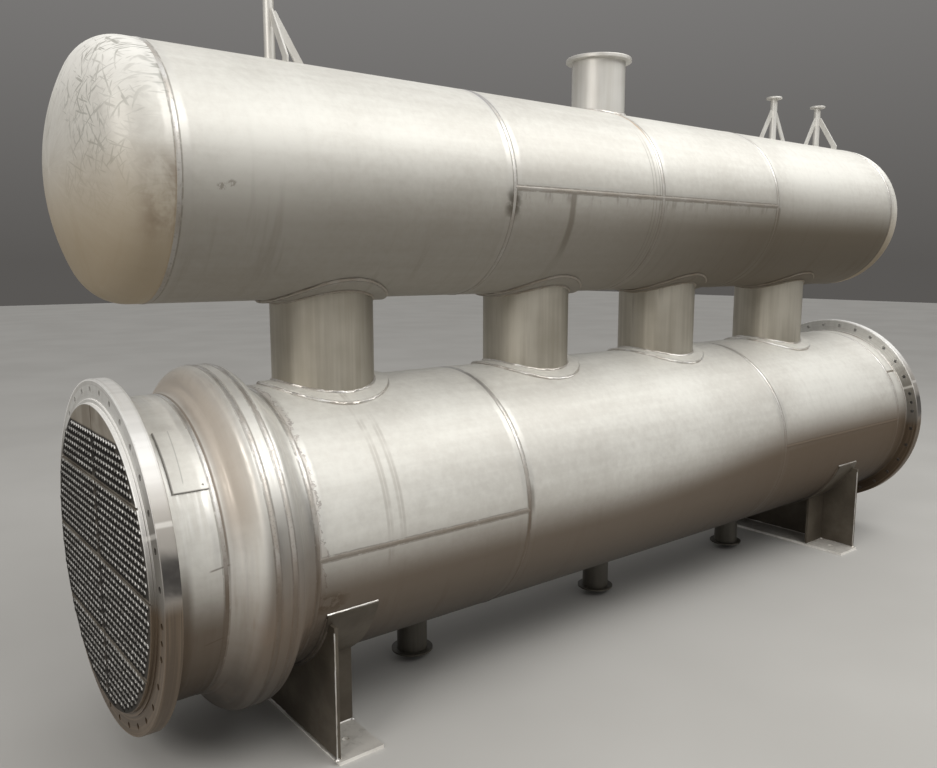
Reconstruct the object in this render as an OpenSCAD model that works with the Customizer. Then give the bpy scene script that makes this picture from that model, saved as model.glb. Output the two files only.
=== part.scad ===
// Shell and tube heat exchanger with its surge drum, in stainless steel, before its channels are bolted on.
// The drum lies over the shell on four risers. X runs along the shell from the front tubesheet to the
// rear one, Y runs across it, and Z is up from the floor under the saddles. All sizes are in millimetres.

/* [Shell] */
// Outside diameter of the shell
shell_od = 914.4; // [860:0.1:960]
// Wall of the shell
shell_t = 10; // [6:1:16]
// Height of the shell's axis over the floor
axis_h = 640; // [600:1:760]
// Length of the shell stub between the front tubesheet and the bellows
stub_len = 139; // [120:1:260]
// Length of the shell course that carries the front saddle
course_1_len = 813; // [700:1:1200]
// Length of the middle shell course
course_2_len = 1595; // [1400:1:2000]
// Length of the rear shell course
course_3_len = 1101; // [900:1:1500]
// Length of the short ring behind the rear course
end_ring_len = 90; // [50:1:200]

/* [Bellows] */
// Wall of the bellows
bellows_t = 10; // [6:1:14]
// Length of each formed half along the shell
bellows_half_len = 112; // [110:1:150]
// Height of the crest over the shell
bellows_h = 80; // [60:1:82]
// Slope of the straight flank, as an angle to the shell's axis
flank_slope = 54; // [52:1:72]
// Outside radius of the hollow bend at the foot of the bellows
root_r = 60; // [40:1:65]
// Outside radius of the bend at the crest of the bellows
crest_r = 38; // [20:1:42]
// Width of the ring welded between the two halves
crest_ring_len = 48; // [20:1:90]

/* [Tubesheets] */
// Outside diameter of the tubesheet flange
sheet_od = 1040; // [1030:1:1160]
// Thickness of the tubesheet flange
sheet_t = 45; // [30:1:80]
// Diameter of the raised face that carries the tubes
face_d = 900; // [892:1:920]
// Height of the raised face over the flange
face_h = 15; // [5:1:25]
// Diameter of the gasket step round the raised face
step_d = 924; // [921:1:944]
// Height of the gasket step
step_h = 4; // [2:1:8]
// Chamfer on the edges of the flange and the raised face
sheet_chamfer = 2; // [0.5:0.5:4]
// Number of bolt holes in the flange
bolt_count = 32; // [24:4:40]
// Diameter of the bolt circle
bolt_circle_d = 980; // [970:1:1000]
// Diameter of the bolt holes
bolt_hole_d = 18; // [12:1:22]
// Diameter of the two jacking holes
jack_hole_d = 16; // [10:1:20]

/* [Tubes] */
// Outside diameter of a tube
tube_od = 19.05; // [16:0.01:19.05]
// Wall of a tube
tube_t = 1.65; // [1:0.05:2.5]
// Distance between tube centres
tube_pitch = 25.4; // [24:0.1:32]
// Distance between the tube rows on each side of a partition groove
lane_w = 35; // [30:1:44]
// Radius within which the tube centres lie
tube_limit_r = 434; // [380:1:434]
// Length by which the tubes stand out of the raised face
tube_proud = 3; // [1:1:6]
// Width of the grooves for the pass partitions
groove_w = 6; // [4:1:14]
// Depth of the grooves for the pass partitions
groove_depth = 4; // [3:1:9]

/* [Drum] */
// Outside diameter of the surge drum
drum_od = 734; // [680:1:780]
// Wall of the surge drum
drum_t = 8; // [6:1:14]
// Height of the drum's axis over the shell's axis
drum_rise = 1098; // [1040:1:1250]
// Place of the drum's first weld behind the front face of the front tubesheet
drum_start = 143; // [0:1:180]
// Length of the first drum course
drum_1_len = 1127; // [1000:1:1300]
// Length of the second drum course
drum_2_len = 773; // [700:1:900]
// Length of the third drum course
drum_3_len = 799; // [700:1:900]
// Length of the fourth drum course
drum_4_len = 1069; // [1000:1:1300]
// Straight edge of the dished heads
head_edge = 40; // [20:1:60]

/* [Risers] */
// Outside diameter of the risers
riser_od = 342; // [300:1:360]
// Wall of the risers
riser_t = 9; // [6:1:14]
// Place of the first riser behind the front face of the front tubesheet
riser_1_at = 733; // [720:1:820]
// Distance from the first riser to the second
riser_1_to_2 = 920; // [880:1:960]
// Distance from the second riser to the third
riser_2_to_3 = 815; // [780:1:860]
// Distance from the third riser to the fourth
riser_3_to_4 = 915; // [880:1:960]
// Width of the reinforcing pads round the risers
pad_w = 46; // [30:1:70]
// Thickness of the reinforcing pads
pad_t = 10; // [5:1:14]

/* [Nozzles] */
// Outside diameter of the top nozzle
top_od = 219.1; // [168:0.1:273]
// Wall of the top nozzle
top_t = 8.2; // [5:0.1:12]
// Place of the top nozzle behind the front face of the front tubesheet
top_at = 2050; // [1960:1:2140]
// Height of all upper nozzles over the drum's axis
upper_h = 584; // [540:1:680]
// Diameter of the stub end on the top nozzle
top_lap_d = 270; // [240:1:320]
// Thickness of the stub end on the top nozzle
top_lap_t = 14; // [8:1:24]
// Outside diameter of the vent nozzles
vent_od = 33.4; // [26:0.1:48]
// Wall of the vent nozzles
vent_t = 3.4; // [2:0.1:5]
// Place of the first vent nozzle behind the front face of the front tubesheet
vent_1_at = 575; // [450:1:650]
// Place of the second vent nozzle
vent_2_at = 3350; // [3200:1:3450]
// Place of the third vent nozzle
vent_3_at = 3768; // [3650:1:3800]
// Diameter of the stub ends on the vent nozzles
vent_lap_d = 78; // [60:1:100]
// Thickness of the stub ends on the vent nozzles
vent_lap_t = 9; // [5:1:14]
// Width of the flat bars that brace the vent nozzles
brace_w = 30; // [20:1:40]
// Thickness of the flat bars
brace_t = 6; // [4:1:10]
// Distance of a bar's foot from the vent nozzle's axis
brace_foot = 105; // [80:1:130]
// Distance from the top of the vent nozzle down to the bars' upper end
brace_drop = 62; // [50:1:90]
// Outside diameter of the drain nozzles
drain_od = 114.3; // [89:0.1:141]
// Wall of the drain nozzles
drain_t = 6; // [4:0.1:9]
// Diameter of the stub ends on the drain nozzles
drain_lap_d = 157; // [145:1:180]
// Thickness of the stub ends on the drain nozzles
drain_lap_t = 8; // [5:1:14]
// Clearance of the drain nozzles over the floor
drain_clear = 28; // [15:1:60]
// Place of the first drain nozzle behind the front face of the front tubesheet
drain_1_at = 1085; // [1000:1:1150]
// Place of the second drain nozzle
drain_2_at = 2098; // [1950:1:2250]
// Place of the third drain nozzle
drain_3_at = 3098; // [3000:1:3250]

/* [Saddles] */
// Place of the front saddle behind the front face of the front tubesheet
saddle_1_at = 584; // [560:1:640]
// Distance between the two saddles
saddle_gap = 2928; // [2880:1:3000]
// Length of the wear pads along the shell
wear_len = 175; // [165:1:220]
// Thickness of the wear pads
wear_t = 8; // [5:1:14]
// Angle that the wear pads wrap round the shell
wear_angle = 135; // [120:1:150]
// Width of the base plates along the shell
base_w = 155; // [130:1:160]
// Length of the base plates across the shell
base_len = 920; // [900:1:1000]
// Thickness of the base plates
base_t = 12; // [8:1:25]
// Height of the web's outer ends below the shell's axis
web_tip_drop = 211; // [200:1:230]
// Length of the web plates across the shell
web_len = 890; // [880:1:900]
// Thickness of the web plates and ribs
web_t = 12; // [8:1:16]
// Distance between the two ribs of a saddle
rib_gap = 530; // [420:1:600]
// Distance between the two anchor holes of a saddle
anchor_gap = 720; // [660:1:780]
// Diameter of the anchor holes
anchor_hole_d = 22; // [14:1:30]

/* [Bracket] */
// Width of the plate bracket along the shell
bracket_w = 98; // [70:1:110]
// Place of the bracket behind the front face of the front tubesheet
bracket_at = 77; // [70:1:80]
// Angle that the bracket covers round the shell
bracket_angle = 25; // [15:1:35]
// Height of the bracket's middle over the horizontal, as an angle
bracket_rise = 46; // [30:1:60]
// Thickness of the bracket
bracket_t = 5; // [3:1:8]
// Diameter of the rivet hole in the bracket
rivet_hole_d = 6; // [4:0.5:8]
// Distance of the rivet hole from the bracket's edges
rivet_edge = 14; // [8:1:20]

/* [Hidden] */
$fn = 120;

steel = [0.74, 0.72, 0.68];
machined = [0.80, 0.80, 0.80];
tube_steel = [0.62, 0.62, 0.62];

// Length by which a cut reaches past the face that it opens
cut = 1;
// Straight pieces in each bend of the bellows
bend_parts = 18;

shell_r = shell_od / 2;
drum_r = drum_od / 2;
crest_outer_r = shell_r + bellows_h;

// Stations along the shell, from the front face of the front tubesheet's flange
stub_at = sheet_t;
bellows_at = stub_at + stub_len;
crest_ring_at = bellows_at + bellows_half_len;
course_1_at = crest_ring_at + crest_ring_len + bellows_half_len;
course_2_at = course_1_at + course_1_len;
course_3_at = course_2_at + course_2_len;
end_ring_at = course_3_at + course_3_len;
rear_sheet_at = end_ring_at + end_ring_len;
shell_end = rear_sheet_at + sheet_t;
shell_mid = shell_end / 2;

// Stations along the drum
drum_2_at = drum_start + drum_1_len;
drum_3_at = drum_2_at + drum_2_len;
drum_4_at = drum_3_at + drum_3_len;
drum_end = drum_4_at + drum_4_len;

riser_2_at = riser_1_at + riser_1_to_2;
riser_3_at = riser_2_at + riser_2_to_3;
riser_4_at = riser_3_at + riser_3_to_4;
riser_stations = [riser_1_at, riser_2_at, riser_3_at, riser_4_at];
drain_stations = [drain_1_at, drain_2_at, drain_3_at];
vent_stations = [vent_1_at, vent_2_at, vent_3_at];
saddle_2_at = saddle_1_at + saddle_gap;

// Dished head: a crown of 0.9 and a knuckle of 0.17 of the diameter, which is close to a 2:1 ellipse
crown_r = 0.9 * drum_od;
knuckle_r = 0.17 * drum_od;
knuckle_at = drum_r - knuckle_r;
crown_back = sqrt(pow(crown_r - knuckle_r, 2) - pow(knuckle_at, 2));
head_depth = crown_r - crown_back;

// The row frame has its origin on the floor, under the middle of the whole length
first_x = min(-face_h - tube_proud, drum_start - head_edge - head_depth);
last_x = max(shell_end + face_h + tube_proud, drum_end + head_edge + head_depth);
mid_x = (first_x + last_x) / 2;

// Tube layout: four passes high and two wide, on a triangular pitch with level rows
row_pitch = tube_pitch * sin(60);
pass_rows = [6, 10, 10, 9];
pass_step = (pass_rows[1] - 1) * row_pitch + lane_w;
pass_top = [
  pass_step + lane_w / 2 + (pass_rows[0] - 1) * row_pitch,
  pass_step - lane_w / 2,
  -lane_w / 2,
  -pass_step - lane_w / 2
];
rows = [for (k = [0 : 3]) for (i = [0 : pass_rows[k] - 1]) [pass_top[k] - i * row_pitch, i % 2]];
tube_sites = [
  for (row = rows)
    let (reach = pow(tube_limit_r, 2) - pow(row[0], 2), first = (lane_w + row[1] * tube_pitch) / 2)
      if (reach > pow(first, 2))
        for (j = [0 : floor((sqrt(reach) - first) / tube_pitch)], side = [-1, 1])
          [side * (first + j * tube_pitch), row[0]]
];

// Puts children drawn about the shell's axis into the row frame
module place() {
  translate([-mid_x, 0, axis_h]) children();
}

// Turns a shape drawn along Z so that it runs along X from the station at
module along(at) {
  translate([at, 0, 0]) rotate([0, 90, 0]) children();
}

module barrel(at, len, r, t) {
  along(at) difference() {
    cylinder(h = len, r = r);
    translate([0, 0, -cut]) cylinder(h = len + 2 * cut, r = r - t);
  }
}

// Solid cylinders used to cut pipes to the curve of the shell and the drum
module shell_solid() {
  along(first_x) cylinder(h = last_x - first_x, r = shell_r);
}

module drum_solid() {
  translate([0, 0, drum_rise]) along(first_x) cylinder(h = last_x - first_x, r = drum_r);
}

module round_holes(count, circle_d, hole_d, depth, start) {
  for (k = [0 : count - 1])
    rotate([0, 0, start + k * 360 / count]) translate([circle_d / 2, 0, 0])
      cylinder(h = depth, d = hole_d, $fn = 32);
}

// Tubesheet drawn along Z with the raised face down, so that the channel side is at the low end
module tubesheet() {
  step_angle = 360 / bolt_count;
  bolt_start = -step_h - cut;
  bolt_depth = sheet_t - bolt_start + cut;
  difference() {
    tubesheet_blank();
    translate([0, 0, bolt_start]) {
      round_holes(bolt_count, bolt_circle_d, bolt_hole_d, bolt_depth, step_angle / 2);
      round_holes(2, bolt_circle_d, jack_hole_d, bolt_depth, step_angle);
    }
    for (y = [-pass_step, 0, pass_step]) translate([0, y, 0]) pass_groove();
    rotate([0, 0, 90]) pass_groove();
    for (site = tube_sites)
      translate([site[0], site[1], -face_h - cut])
        cylinder(h = face_h + sheet_t + 2 * cut, d = tube_od, $fn = 24);
  }
}

// Turned blank: flange, gasket step and raised face
module tubesheet_blank() {
  flange_r = sheet_od / 2;
  face_r = face_d / 2;
  rotate_extrude() polygon([
    [0, -face_h], [face_r - sheet_chamfer, -face_h], [face_r, -face_h + sheet_chamfer], [face_r, -step_h],
    [step_d / 2, -step_h], [step_d / 2, 0], [flange_r - sheet_chamfer, 0], [flange_r, sheet_chamfer],
    [flange_r, sheet_t - sheet_chamfer], [flange_r - sheet_chamfer, sheet_t], [0, sheet_t]
  ]);
}

module pass_groove() {
  translate([-face_d / 2 - cut, -groove_w / 2, -face_h - cut])
    cube([face_d + 2 * cut, groove_w, groove_depth + cut]);
}

module front_tubesheet() {
  color(machined) place() rotate([90, 0, 90]) tubesheet();
}

module rear_tubesheet() {
  color(machined) place() translate([shell_end, 0, 0]) rotate([90, 0, -90]) tubesheet();
}

// Tubes above or below the middle lane, side being 1 or -1
module tubes(side) {
  start = -face_h - tube_proud;
  color(tube_steel) place() translate([start, 0, 0]) rotate([90, 0, 90])
    for (site = tube_sites)
      if (side * site[1] > 0)
        translate([site[0], site[1], 0]) linear_extrude(shell_end - 2 * start) difference() {
          circle(d = tube_od, $fn = 16);
          circle(d = tube_od - 2 * tube_t, $fn = 16);
        }
}

module front_shell_stub() {
  color(steel) place() barrel(stub_at, stub_len, shell_r, shell_t);
}

// Skin of half of the bellows as radius and length, at a depth under the outside: hollow bend, slanting
// flank and crest bend, which leave a short straight crest up to the ring
function bellows_skin(depth) =
  let (
    flank_len = (bellows_h - (root_r + crest_r) * (1 - cos(flank_slope))) / sin(flank_slope),
    crest_bend_at = (root_r + crest_r) * sin(flank_slope) + flank_len * cos(flank_slope),
    hollow = root_r + depth,
    bulge = crest_r - depth
  )
  concat(
    [
      for (k = [0:bend_parts])
        let (turn = flank_slope * k / bend_parts)
          [shell_r + root_r - hollow * cos(turn), hollow * sin(turn)]
    ],
    [
      for (k = [bend_parts:-1:0])
        let (turn = flank_slope * k / bend_parts)
          [crest_outer_r - crest_r + bulge * cos(turn), crest_bend_at - bulge * sin(turn)]
    ],
    [[crest_outer_r - depth, bellows_half_len]]
  );

module bellows_profile() {
  inner = bellows_skin(bellows_t);
  polygon(concat(bellows_skin(0), [for (k = [len(inner) - 1:-1:0]) inner[k]]));
}

module bellows_front_half() {
  color(steel) place() along(bellows_at) rotate_extrude() bellows_profile();
}

module bellows_rear_half() {
  color(steel) place() translate([course_1_at, 0, 0]) rotate([0, -90, 0]) rotate_extrude() bellows_profile();
}

module bellows_crest_ring() {
  color(steel) place() barrel(crest_ring_at, crest_ring_len, crest_outer_r, bellows_t);
}

// Shell course with the openings for the risers and the drains that fall within it
module shell_course(at, len) {
  difference() {
    barrel(at, len, shell_r, shell_t);
    for (x = riser_stations)
      if (x + riser_od / 2 > at && x - riser_od / 2 < at + len)
        translate([x, 0, 0]) cylinder(h = shell_od, d = riser_od - 2 * riser_t);
    for (x = drain_stations)
      if (x + drain_od / 2 > at && x - drain_od / 2 < at + len)
        translate([x, 0, -shell_od]) cylinder(h = shell_od, d = drain_od - 2 * drain_t);
  }
}

module shell_course_1() {
  color(steel) place() shell_course(course_1_at, course_1_len);
}

module shell_course_2() {
  color(steel) place() shell_course(course_2_at, course_2_len);
}

module shell_course_3() {
  color(steel) place() shell_course(course_3_at, course_3_len);
}

module shell_end_ring() {
  color(steel) place() barrel(end_ring_at, end_ring_len, shell_r, shell_t);
}

// Riser cut to the shell below and to the drum above
module riser(x) {
  difference() {
    translate([x, 0, 0]) cylinder(h = drum_rise, d = riser_od);
    translate([x, 0, -cut]) cylinder(h = drum_rise + 2 * cut, d = riser_od - 2 * riser_t);
    shell_solid();
    drum_solid();
  }
}

// Saddle-shaped pad on a cylinder of radius r about the X axis, round a riser that leaves it upwards
module pad(x, r) {
  intersection() {
    along(x - riser_od) difference() {
      cylinder(h = 2 * riser_od, r = r + pad_t);
      translate([0, 0, -cut]) cylinder(h = 2 * (riser_od + cut), r = r);
    }
    translate([x, 0, 0]) difference() {
      cylinder(h = r + 2 * pad_t, d = riser_od + 2 * pad_w);
      translate([0, 0, -cut]) cylinder(h = r + 2 * (pad_t + cut), d = riser_od);
    }
  }
}

module shell_pad(x) {
  color(steel) place() pad(x, shell_r);
}

module drum_pad(x) {
  color(steel) place() translate([0, 0, drum_rise]) mirror([0, 0, 1]) pad(x, drum_r);
}

module riser_part(x) {
  color(steel) place() riser(x);
}

// Outline of the head's outer or inner surface, as radius and distance from the tangent line
module head_outline(inset) {
  reach_r = (crown_r - inset) * knuckle_at / (crown_r - knuckle_r);
  intersection() {
    translate([0, -crown_back]) circle(r = crown_r - inset, $fn = 360);
    square([reach_r, head_depth + cut]);
  }
  intersection() {
    translate([knuckle_at, 0]) circle(r = knuckle_r - inset);
    square([drum_r, head_depth]);
  }
  translate([0, -head_edge]) square([drum_r - inset, head_edge]);
}

// Head drawn along Z with its straight edge starting at zero
module head() {
  translate([0, 0, head_edge]) rotate_extrude() difference() {
    head_outline(0);
    head_outline(drum_t);
  }
}

module drum_front_head() {
  color(steel) place() translate([drum_start, 0, drum_rise]) rotate([0, -90, 0]) head();
}

module drum_rear_head() {
  color(steel) place() translate([drum_end, 0, drum_rise]) rotate([0, 90, 0]) head();
}

// Drum course with the openings for the risers below and for the nozzles above
module drum_course(at, len) {
  color(steel) place() translate([0, 0, drum_rise]) difference() {
    barrel(at, len, drum_r, drum_t);
    for (x = riser_stations)
      if (x + riser_od / 2 > at && x - riser_od / 2 < at + len)
        translate([x, 0, -drum_od]) cylinder(h = drum_od, d = riser_od - 2 * riser_t);
    for (x = vent_stations)
      if (x + vent_od / 2 > at && x - vent_od / 2 < at + len)
        translate([x, 0, 0]) cylinder(h = drum_od, d = vent_od - 2 * vent_t);
    if (top_at + top_od / 2 > at && top_at - top_od / 2 < at + len)
      translate([top_at, 0, 0]) cylinder(h = drum_od, d = top_od - 2 * top_t);
  }
}

// Pipe with a lapped stub end at the top, drawn up from zero
module stub_end_pipe(h, od, t, lap_d, lap_t) {
  edge_r = lap_t / 3;
  rotate_extrude() {
    translate([od / 2 - t, 0]) square([t, h]);
    translate([od / 2 - t, h - lap_t]) square([(lap_d - od) / 2 + t - edge_r, lap_t]);
    translate([lap_d / 2 - edge_r, h - lap_t]) square([edge_r, lap_t - edge_r]);
    translate([lap_d / 2 - edge_r, h - edge_r]) intersection() {
      circle(r = edge_r, $fn = 32);
      square([edge_r, edge_r]);
    }
  }
}

module top_nozzle() {
  color(steel) place() difference() {
    translate([top_at, 0, drum_rise]) stub_end_pipe(upper_h, top_od, top_t, top_lap_d, top_lap_t);
    drum_solid();
  }
}

// Flat bar in the XZ plane that leans from the vent nozzle out to its foot on the drum
module brace() {
  top = upper_h - brace_drop;
  inner = vent_od / 2 - vent_t;
  foot = drum_r - brace_w;
  translate([0, brace_t / 2, 0]) rotate([90, 0, 0]) linear_extrude(brace_t)
    polygon([[inner, top - brace_w], [inner, top], [inner + brace_w / 3, top],
      [brace_foot + brace_w / 2, drum_r], [brace_foot + brace_w / 2, foot], [brace_foot - brace_w / 2, foot],
      [brace_foot - brace_w / 2, drum_r]]);
}

module vent_nozzle(x, brace_angles) {
  color(steel) place() difference() {
    translate([x, 0, drum_rise]) {
      stub_end_pipe(upper_h, vent_od, vent_t, vent_lap_d, vent_lap_t);
      for (angle = brace_angles) rotate([0, 0, angle]) brace();
    }
    drum_solid();
    translate([x, 0, drum_rise]) cylinder(h = upper_h + cut, d = vent_od - 2 * vent_t);
  }
}

module drain_nozzle(x) {
  color(steel) place() difference() {
    translate([x, 0, 0]) mirror([0, 0, 1])
      stub_end_pipe(axis_h - drain_clear, drain_od, drain_t, drain_lap_d, drain_lap_t);
    shell_solid();
  }
}

// Strip of a cylinder about the X axis, with its middle at an angle measured from straight down towards +Y
module shell_strip(at, len, r, t, span, middle) {
  along(at) rotate([0, 0, middle - span / 2]) rotate_extrude(angle = span) translate([r, 0]) square([t, len]);
}

module plate_bracket() {
  hole_at = bracket_at + bracket_w - rivet_edge;
  hole_rise = bracket_rise - bracket_angle / 2 + asin(rivet_edge / shell_r);
  color(steel) place() difference() {
    shell_strip(bracket_at, bracket_w, shell_r, bracket_t, bracket_angle, -90 - bracket_rise);
    translate([hole_at, 0, 0]) rotate([90 - hole_rise, 0, 0])
      translate([0, 0, shell_r - cut]) cylinder(h = 2 * (bracket_t + cut), d = rivet_hole_d, $fn = 24);
  }
}

module wear_pad(x) {
  color(steel) place() shell_strip(x - wear_len / 2, wear_len, shell_r, wear_t, wear_angle, 0);
}

// Plates of a saddle stand between its base plate and its wear pad
module under_pad(x) {
  translate([0, 0, -axis_h + base_t]) intersection() {
    children();
    translate([x - base_w, -base_len / 2, 0]) cube([2 * base_w, base_len, axis_h - base_t - web_tip_drop]);
  }
}

module pad_solid(x) {
  along(x - base_w) cylinder(h = 2 * base_w, r = shell_r + wear_t);
}

// Web at the outer edge of the base plate, outwards being -1 or 1 along X
module saddle_web(x, outwards) {
  web_at = x + outwards * (base_w - web_t) / 2 - web_t / 2;
  color(steel) place() difference() {
    under_pad(x) translate([web_at, -web_len / 2, 0]) cube([web_t, web_len, axis_h]);
    pad_solid(x);
  }
}

// Two ribs that run from the web to the inner edge of the base plate
module saddle_ribs(x, outwards) {
  rib_len = base_w - web_t;
  color(steel) place() difference() {
    under_pad(x) for (side = [-1, 1])
      translate([x - outwards * web_t / 2 - rib_len / 2, side * rib_gap / 2 - web_t / 2, 0])
        cube([rib_len, web_t, axis_h]);
    pad_solid(x);
  }
}

module saddle_base(x) {
  color(steel) place() translate([x - base_w / 2, -base_len / 2, -axis_h]) difference() {
    cube([base_w, base_len, base_t]);
    for (side = [-1, 1])
      translate([base_w / 2, (base_len + side * anchor_gap) / 2, -cut])
        cylinder(h = base_t + 2 * cut, d = anchor_hole_d, $fn = 32);
  }
}

front_tubesheet();
rear_tubesheet();
tubes(1);  // upper_tubes
tubes(-1);  // lower_tubes
front_shell_stub();
bellows_front_half();
bellows_crest_ring();
bellows_rear_half();
shell_course_1();
shell_course_2();
shell_course_3();
shell_end_ring();
shell_pad(riser_1_at);  // shell_pad_1
shell_pad(riser_2_at);  // shell_pad_2
shell_pad(riser_3_at);  // shell_pad_3
shell_pad(riser_4_at);  // shell_pad_4
riser_part(riser_1_at);  // riser_1
riser_part(riser_2_at);  // riser_2
riser_part(riser_3_at);  // riser_3
riser_part(riser_4_at);  // riser_4
drum_pad(riser_1_at);  // drum_pad_1
drum_pad(riser_2_at);  // drum_pad_2
drum_pad(riser_3_at);  // drum_pad_3
drum_pad(riser_4_at);  // drum_pad_4
drum_front_head();
drum_course(drum_start, drum_1_len);  // drum_course_1
drum_course(drum_2_at, drum_2_len);  // drum_course_2
drum_course(drum_3_at, drum_3_len);  // drum_course_3
drum_course(drum_4_at, drum_4_len);  // drum_course_4
drum_rear_head();
top_nozzle();
vent_nozzle(vent_1_at, [0, -90]);  // vent_nozzle_1
vent_nozzle(vent_2_at, [0, 180]);  // vent_nozzle_2
vent_nozzle(vent_3_at, [180, -90]);  // vent_nozzle_3
drain_nozzle(drain_1_at);  // drain_nozzle_1
drain_nozzle(drain_2_at);  // drain_nozzle_2
drain_nozzle(drain_3_at);  // drain_nozzle_3
plate_bracket();
wear_pad(saddle_1_at);  // front_wear_pad
saddle_web(saddle_1_at, -1);  // front_saddle_web
saddle_ribs(saddle_1_at, -1);  // front_saddle_ribs
saddle_base(saddle_1_at);  // front_saddle_base
wear_pad(saddle_2_at);  // rear_wear_pad
saddle_web(saddle_2_at, 1);  // rear_saddle_web
saddle_ribs(saddle_2_at, 1);  // rear_saddle_ribs
saddle_base(saddle_2_at);  // rear_saddle_base
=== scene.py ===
# %% [markdown]
# # A stainless steel heat exchanger under its surge drum
#
# The real object is a long shell full of tubes, with a drum standing over it on four wide pipes. It
# was photographed in the works, just welded and cleaned, so almost everything that one sees is bare
# steel: plates with a soft, whitish skin, bright weld beads with dark edges, a turned flange, and the
# open ends of some nine hundred tubes. The construction comes in as a fixed frame. What is left to do
# here is the finish of each steel, the weld beads, and the light that lets both be read.

# %% Load the frame
import math

import bpy
from mathutils import Matrix, Vector


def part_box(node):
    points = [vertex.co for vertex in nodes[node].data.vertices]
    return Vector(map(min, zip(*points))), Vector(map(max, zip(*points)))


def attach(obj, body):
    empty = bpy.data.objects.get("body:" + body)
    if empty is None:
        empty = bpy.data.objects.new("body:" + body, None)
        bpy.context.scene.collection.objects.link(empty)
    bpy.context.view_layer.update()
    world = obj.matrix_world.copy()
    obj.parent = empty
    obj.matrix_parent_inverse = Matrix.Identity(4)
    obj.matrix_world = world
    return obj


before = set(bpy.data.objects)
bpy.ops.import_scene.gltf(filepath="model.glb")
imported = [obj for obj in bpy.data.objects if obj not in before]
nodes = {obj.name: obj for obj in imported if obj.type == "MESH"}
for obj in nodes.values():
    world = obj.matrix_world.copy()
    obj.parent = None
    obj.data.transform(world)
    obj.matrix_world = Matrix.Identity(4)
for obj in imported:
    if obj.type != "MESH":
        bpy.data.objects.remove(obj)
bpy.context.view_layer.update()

# %% [markdown]
# ## Where things are
#
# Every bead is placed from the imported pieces, and so is nearly every stain. A round vessel needs only
# its axis and its radius, and both can be read from the box of one of its courses. Distances are in
# metres, and an angle on a vessel is measured upwards from the side that faces the camera.

# %% Read the vessels and their seams from the frame
MM = 0.001


class Vessel:
    """A cylinder along X: the height of its axis and its outer radius, read from one course."""

    def __init__(self, course):
        low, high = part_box(course)
        self.radius = (high.y - low.y) / 2
        self.axis_z = low.z + self.radius

    def point(self, x, angle, over=0.0):
        """A point on the skin, or that much over it, at an angle in degrees up from the near side."""
        turn = math.radians(angle)
        reach = self.radius + over
        return Vector((x, -reach * math.cos(turn), self.axis_z + reach * math.sin(turn)))


def start_of(node):
    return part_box(node)[0].x


def end_of(node):
    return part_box(node)[1].x


shell = Vessel("shell_course_1")
drum = Vessel("drum_course_1")
shell_seams = {
    "stub": end_of("front_shell_stub"),
    "crest_front": start_of("bellows_crest_ring"),
    "crest_rear": end_of("bellows_crest_ring"),
    "bellows": start_of("shell_course_1"),
    "course_1": end_of("shell_course_1"),
    "course_2": end_of("shell_course_2"),
    "course_3": end_of("shell_course_3"),
}
drum_seams = {
    "front": start_of("drum_course_1"),
    "course_1": end_of("drum_course_1"),
    "course_2": end_of("drum_course_2"),
    "course_3": end_of("drum_course_3"),
    "rear": end_of("drum_course_4"),
}
crest_radius = (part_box("bellows_crest_ring")[1].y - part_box("bellows_crest_ring")[0].y) / 2
print("shell radius", round(shell.radius, 4), "drum radius", round(drum.radius, 4))

# %% [markdown]
# ## The camera
#
# The photograph's view was worked out from the rims of the two tubesheets and the seams of the drum.
# It was taken from standing height, close to the near corner, with a wide lens, so the front flange
# looks much larger than the rear one. A camera that is placed by hand could come close, but the
# distance and the lens trade against each other, and only the measured pair gives both ends their size.

# %% Place the camera as the photographer stood
photo_width = 937
focal_pixels = 838.4
camera_at = Vector((-2.657, -2.513, 1.491))
camera_heading = math.radians(51.62)
camera_tilt = math.radians(-8.27)

bpy.ops.object.camera_add(
    location=camera_at, rotation=(math.pi / 2 + camera_tilt, 0, camera_heading - math.pi / 2))
camera = bpy.context.object
camera.data.sensor_width = 36
camera.data.lens = focal_pixels / photo_width * camera.data.sensor_width
bpy.context.scene.camera = camera
print("lens", round(camera.data.lens, 2), "mm")

# %% [markdown]
# ## A small language for materials
#
# A steel skin is a sum of many faint things: clouds, drips, brushed bands, dark weld edges. Wiring each
# as nodes by hand soon gets hard to read. Here one small class wraps a socket, so that a plain Python
# sum such as cloud * 0.2 + band makes the Math nodes by itself. Anything else goes through one method
# that sets a node's choices first and its inputs after.


# %% Wrap a socket so that sums make nodes
class Wire:
    """One output of the material being made. Sums on it add Math nodes."""

    def __init__(self, paint, socket):
        self.paint = paint
        self.socket = socket

    def math(self, operation, *others):
        return self.paint.node("ShaderNodeMath", {"operation": operation}, [self, *others])

    def __add__(self, other):
        return self.math("ADD", other)

    __radd__ = __add__

    def __sub__(self, other):
        return self.math("SUBTRACT", other)

    def __rsub__(self, other):
        return self.paint.node("ShaderNodeMath", {"operation": "SUBTRACT"}, [other, self])

    def __mul__(self, other):
        return self.math("MULTIPLY", other)

    __rmul__ = __mul__

    def __truediv__(self, other):
        return self.math("DIVIDE", other)

    def __abs__(self):
        return self.math("ABSOLUTE")

    def largest(self, other):
        return self.math("MAXIMUM", other)

    def step(self, first, last, start=0.0, end=1.0):
        """A soft step from start to end while the value goes, up or down, from first to last."""
        settings = {"interpolation_type": "SMOOTHSTEP"}
        inputs = {"Value": self, "From Min": first, "From Max": last, "To Min": start, "To Max": end}
        return self.paint.node("ShaderNodeMapRange", settings, inputs)


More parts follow.
